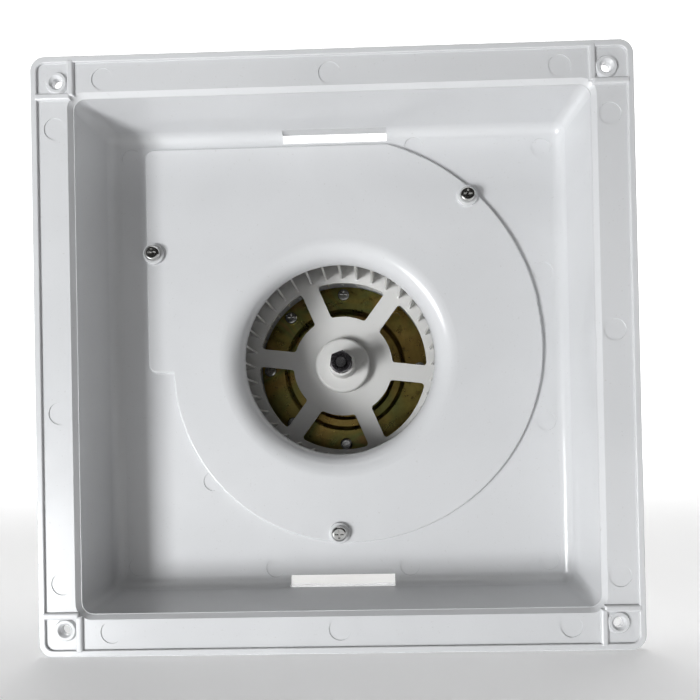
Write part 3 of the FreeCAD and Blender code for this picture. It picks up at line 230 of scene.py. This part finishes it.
def soft_rubber(name, colour, shade, gloss):
    """Rubber or soft sheath: matt, with a fine talc bloom and extrusion lines."""
    nodes = Nodes(name)
    bloom = nodes.noise(220, detail=6.0, roughness=0.7)
    tint = nodes.ramp(bloom, "Fac", [(0.35, shade), (0.75, colour)])
    nodes.link(tint, "Color", nodes.shader, "Base Color")
    rough = nodes.ramp(bloom, "Fac", [(0.3, gloss - 0.08), (0.7, gloss + 0.08)])
    nodes.link(rough, "Color", nodes.shader, "Roughness")
    grain = nodes.noise(1800, detail=3.0)
    nodes.bump([(grain, "Fac", 0.22, 0.00004)])
    return nodes.material


# ---------------------------------------------------------------- finishes of the CAD nodes

def make_plastics():
    """Moulded plastics: colour, shade, gloss, spread of gloss, then grain, coat and glow."""
    looks = {
        "body_plastic": ((0.70, 0.705, 0.715), (0.66, 0.665, 0.675), 0.22, 0.05, 0.12, 0.35, 0),
        "impeller_plastic": ((0.74, 0.735, 0.72), (0.68, 0.675, 0.66), 0.40, 0.06, 0.2, 0, 0.15),
        "adaptor_plastic": ((0.77, 0.78, 0.79), (0.73, 0.74, 0.75), 0.36, 0.06, 0.25, 0, 0),
        "box_plastic": ((0.62, 0.64, 0.66), (0.56, 0.58, 0.60), 0.42, 0.07, 0.35, 0, 0),
        "capacitor_case": ((0.030, 0.031, 0.034), (0.020, 0.021, 0.023), 0.28, 0.06, 0.15, 0, 0),
        "insulation": ((0.72, 0.67, 0.52), (0.64, 0.59, 0.44), 0.45, 0.06, 0.2, 0, 0.1),
    }
    return {name: moulded_plastic(name, *look) for name, look in looks.items()}


def make_metals():
    """Bare and plated metals: colour, shade, gloss, spread of gloss, then turning and bump."""
    looks = {
        "bright_screw": ((0.76, 0.76, 0.75), (0.60, 0.60, 0.59), 0.20, 0.07),
        "dark_steel": ((0.20, 0.19, 0.20), (0.10, 0.095, 0.10), 0.26, 0.08),
        "shaft_steel": ((0.36, 0.355, 0.36), (0.25, 0.245, 0.25), 0.24, 0.07, ("BANDS", "Y", 900.0)),
        "brass": ((0.70, 0.50, 0.20), (0.55, 0.38, 0.15), 0.26, 0.07),
        "bronze": ((0.50, 0.32, 0.16), (0.36, 0.22, 0.11), 0.42, 0.08, None, 0.4),
        "rotor_aluminium": ((0.72, 0.72, 0.73), (0.60, 0.60, 0.61), 0.40, 0.08, None, 0.3),
    }
    return {name: plain_metal(name, *look) for name, look in looks.items()}


def make_finishes():
    finishes = make_plastics() | make_metals()
    finishes["yellow_zinc"] = yellow_zinc("yellow_zinc")
    finishes["lamination"] = laminated_steel("lamination")
    finishes["copper"] = wound_copper("copper")
    finishes["rubber"] = soft_rubber("rubber", (0.030, 0.030, 0.031), (0.018, 0.018, 0.019), 0.62)
    finishes["lead_sheath"] = soft_rubber("lead_sheath", (0.66, 0.67, 0.68), (0.58, 0.59, 0.60), 0.46)
    return finishes


def dress_nodes(finishes):
    """Give every CAD node the finish of its slot."""
    slots = {entry["node"]: entry["material_slot"] for entry in frame["record"]["subparts"]}
    for name, item in frame["nodes"].items():
        item.data.materials.clear()
        item.data.materials.append(finishes[slots[name]])


# ---------------------------------------------------------------- stage, light and camera

def studio_paper():
    """Matt white paper with painted light: it glows more with its distance behind the part."""
    nodes = Nodes("studio_paper")
    fibre = nodes.noise(30, detail=4.0)
    tint = nodes.ramp(fibre, "Fac", [(0.3, (0.88, 0.88, 0.885)), (0.7, (0.90, 0.90, 0.90))])
    nodes.link(tint, "Color", nodes.shader, "Base Color")
    away = nodes.add("ShaderNodeSeparateXYZ")
    nodes.link(nodes.place, "Object", away, "Vector")
    # painted light: emission that grows with the distance behind the part, so the far floor and the wall
    # glow white; this glow also lights the part
    glow = nodes.add("ShaderNodeMapRange", interpolation_type="SMOOTHSTEP")
    glow_range = {"From Min": 0.35, "From Max": 2.2, "To Min": 0.20, "To Max": 0.55}
    for socket, value in glow_range.items():
        glow.inputs[socket].default_value = value
    nodes.link(away, "Y", glow, "Value")
    nodes.link(glow, "Result", nodes.shader, "Emission Strength")
    nodes.set(Roughness=0.9, Emission_Color=(1, 1, 1, 1))
    return nodes.material


def make_stage():
    """Seamless pale sweep: a floor under the part that curves up far behind it."""
    ground = CAD_BOX[0].z
    near, far, side, bend, height, steps = -3.0, 3.2, 4.0, 0.9, 4.0, 12
    bend_start = far - bend
    profile = [(near, ground), (bend_start, ground)]
    for step in range(1, steps + 1):
        turn = math.radians(90 * step / steps)
        profile.append((bend_start + bend * math.sin(turn), ground + bend * (1 - math.cos(turn))))
    profile.append((far, ground + height))
    points = [(sign * side, y, z) for y, z in profile for sign in (-1, 1)]
    faces = [(2 * i, 2 * i + 1, 2 * i + 3, 2 * i + 2) for i in range(len(profile) - 1)]
    mesh = bpy.data.meshes.new("sweep")
    mesh.from_pydata(points, [], faces)
    mesh.polygons.foreach_set("use_smooth", [True] * len(faces))
    sweep = bpy.data.objects.new("sweep", mesh)
    bpy.context.scene.collection.objects.link(sweep)
    mesh.materials.append(studio_paper())
    # the key light stands below the floor's level, so the floor must not shade it
    sweep.visible_shadow = False


def area_light(name, place, target, size, power, colour=(1, 1, 1)):
    """Rectangular lamp that faces its target; size in metres, power in watts."""
    data = bpy.data.lights.new(name, "AREA")
    data.shape = "RECTANGLE"
    data.size, data.size_y = size
    data.energy = power
    data.color = colour
    lamp = bpy.data.objects.new(name, data)
    lamp.location = Vector(place)
    lamp.rotation_euler = (Vector(target) - Vector(place)).to_track_quat("-Z", "Y").to_euler()
    bpy.context.scene.collection.objects.link(lamp)


def make_lights():
    """Window-like key from the lower left, with soft fills from above and behind."""
    tray = (0.0, 0.02, 0.0)
    area_light("window_key", (-0.84, -0.95, -0.40), tray, (0.34, 0.50), 13.6, (0.975, 0.99, 1.0))
    area_light("front_fill", (-0.5, -1.5, -0.3), tray, (0.9, 0.9), 0.5, (0.86, 0.93, 1.0))
    area_light("top_fill", (0.1, 0.45, 1.5), (0, 0.2, 0), (1.2, 1.0), 7)
    area_light("back_fill", (-1.2, 1.6, 0.7), (0, 0.1, 0), (1.2, 1.2), 4.5)
    area_light("back_right", (1.4, 1.2, 0.4), (0, 0.1, 0), (1.0, 1.0), 4)
    area_light("backdrop_wash", (0, 1.0, 1.7), (0, 3.2, 0.8), (2.4, 0.8), 40)
    area_light("front_wash", (0, -1.6, 2.2), (0, -2.6, -0.1), (2.4, 1.2), 12)


def make_world():
    """Room light: dim and warm on the part, pale where the camera sees it directly."""
    world = bpy.data.worlds.new("studio")
    bpy.context.scene.world = world
    world.use_nodes = True
    tree = world.node_tree
    dim_room = tree.nodes["Background"]
    dim_room.inputs["Color"].default_value = (1.0, 0.95, 0.89, 1)
    dim_room.inputs["Strength"].default_value = 0.03
    pale_wall = tree.nodes.new("ShaderNodeBackground")
    pale_wall.inputs["Color"].default_value = (0.88, 0.88, 0.88, 1)
    seen = tree.nodes.new("ShaderNodeLightPath")
    choice = tree.nodes.new("ShaderNodeMixShader")
    tree.links.new(seen.outputs["Is Camera Ray"], choice.inputs[0])
    tree.links.new(dim_room.outputs[0], choice.inputs[1])
    tree.links.new(pale_wall.outputs[0], choice.inputs[2])
    tree.links.new(choice.outputs[0], tree.nodes["World Output"].inputs["Surface"])


def make_camera():
    """Level view of the open tray from slightly below its middle."""
    data = bpy.data.cameras.new("camera")
    data.sensor_width = 36.0
    data.lens = 33.24
    data.shift_x = -0.016
    data.shift_y = 0.10
    camera = bpy.data.objects.new("camera", data)
    camera.location = (15.6 * MM, -269.4 * MM, -31.1 * MM)
    pitch, roll, yaw = math.radians(0.41), math.radians(1.14), math.radians(1.12)
    aim = Euler((math.radians(90) + pitch, 0, yaw)).to_matrix() @ Matrix.Rotation(-roll, 3, "Z")
    camera.rotation_euler = aim.to_euler()
    bpy.context.scene.collection.objects.link(camera)
    bpy.context.scene.camera = camera
    bpy.context.scene.view_settings.view_transform = "Standard"
    bpy.context.scene.view_settings.look = "Medium High Contrast"


finishes = make_finishes()
dress_nodes(finishes)
make_stage()
make_lights()
make_world()
make_camera()
